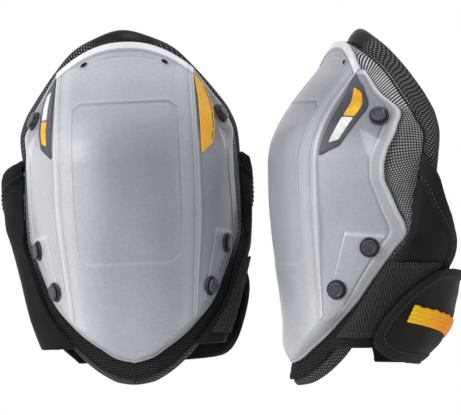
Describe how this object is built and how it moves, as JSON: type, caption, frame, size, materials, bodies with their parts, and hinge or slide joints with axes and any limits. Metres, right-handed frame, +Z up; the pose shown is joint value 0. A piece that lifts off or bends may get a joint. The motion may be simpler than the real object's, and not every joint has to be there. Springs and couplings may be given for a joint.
{
  "type": "knee pads",
  "caption": "Pair of roofing knee pads with frosted hard shells, press rivets, mesh sides, padded collars, neoprene wings and a calf strap.",
  "frame": {"origin": "middle of the bottom of the box that holds both pads", "axes": "+X to the right across the pair as seen from the front, +Y backwards, +Z up"},
  "size_m": [0.3052, 0.185, 0.239],
  "materials": {
    "shell": "frosted translucent",
    "rivet": "satin",
    "plate_dark": "satin print",
    "plate_orange": "satin print",
    "side_mesh": "spacer mesh",
    "twill": "coarse twill",
    "neoprene": "smooth knit face",
    "binding": "woven tape",
    "loop": "brushed loop",
    "hook": "hook field",
    "webbing": "ribbed webbing",
    "foam": "closed-cell foam",
    "gel": "gel",
    "liner": "brushed knit"
  },
  "bodies": {
    "root": {"right_shell": "shell", "right_label_dark": "plate_dark", "right_label_orange": "plate_orange", "right_rivet_ring_1": "rivet", "right_rivet_ring_2": "rivet", "right_rivet_ring_3": "rivet", "right_rivet_ring_4": "rivet", "right_rivet_ring_5": "rivet", "right_rivet_ring_6": "rivet", "right_rivet_cap_1": "rivet", "right_rivet_cap_2": "rivet", "right_rivet_cap_3": "rivet", "right_rivet_cap_4": "rivet", "right_rivet_cap_5": "rivet", "right_rivet_cap_6": "rivet", "right_mesh_cover": "side_mesh", "right_collar": "twill", "right_foam_core": "foam", "right_gel_insert": "gel", "right_inner_liner": "liner", "right_wing_near": "neoprene", "right_wing_near_binding": "binding", "right_wing_far": "neoprene", "right_wing_far_binding": "binding", "right_loop_panel": "loop", "left_shell": "shell", "left_label_dark": "plate_dark", "left_label_orange": "plate_orange", "left_rivet_ring_1": "rivet", "left_rivet_ring_2": "rivet", "left_rivet_ring_3": "rivet", "left_rivet_ring_4": "rivet", "left_rivet_ring_5": "rivet", "left_rivet_ring_6": "rivet", "left_rivet_cap_1": "rivet", "left_rivet_cap_2": "rivet", "left_rivet_cap_3": "rivet", "left_rivet_cap_4": "rivet", "left_rivet_cap_5": "rivet", "left_rivet_cap_6": "rivet", "left_mesh_cover": "side_mesh", "left_collar": "twill", "left_foam_core": "foam", "left_gel_insert": "gel", "left_inner_liner": "liner", "left_wing_near": "neoprene", "left_wing_near_binding": "binding", "left_wing_far": "neoprene", "left_wing_far_binding": "binding", "left_loop_panel": "loop"},
    "right_strap_body": {"right_strap": "neoprene"},
    "right_flap_body": {"right_strap_flap": "neoprene", "right_flap_binding": "binding", "right_hook_patch": "hook", "right_pull_tab": "webbing"},
    "left_strap_body": {"left_strap": "neoprene"},
    "left_flap_body": {"left_strap_flap": "neoprene", "left_flap_binding": "binding", "left_hook_patch": "hook", "left_pull_tab": "webbing"}
  },
  "joints": [
    {"name": "right_strap_swing", "type": "hinge", "parent": "root", "child": "right_strap_body", "pos_m": [-0.11179, 0.0683, 0.04255], "axis": [-0.1966, 0.4063, 0.8923], "range_deg": [0, 50]},
    {"name": "right_flap_peel", "type": "hinge", "parent": "right_strap_body", "child": "right_flap_body", "pos_m": [-0.04739, 0.08655, 0.04347], "axis": [0.0272, 0.4073, 0.9129], "range_deg": [0, 80]},
    {"name": "left_strap_swing", "type": "hinge", "parent": "root", "child": "left_strap_body", "pos_m": [0.11015, 0.03975, 0.04451], "axis": [0.3378, 0.2753, 0.9001], "range_deg": [0, 50]},
    {"name": "left_flap_peel", "type": "hinge", "parent": "left_strap_body", "child": "left_flap_body", "pos_m": [0.14739, -0.01584, 0.04262], "axis": [0.4081, 0.0622, 0.9108], "range_deg": [0, 80]}
  ]
}
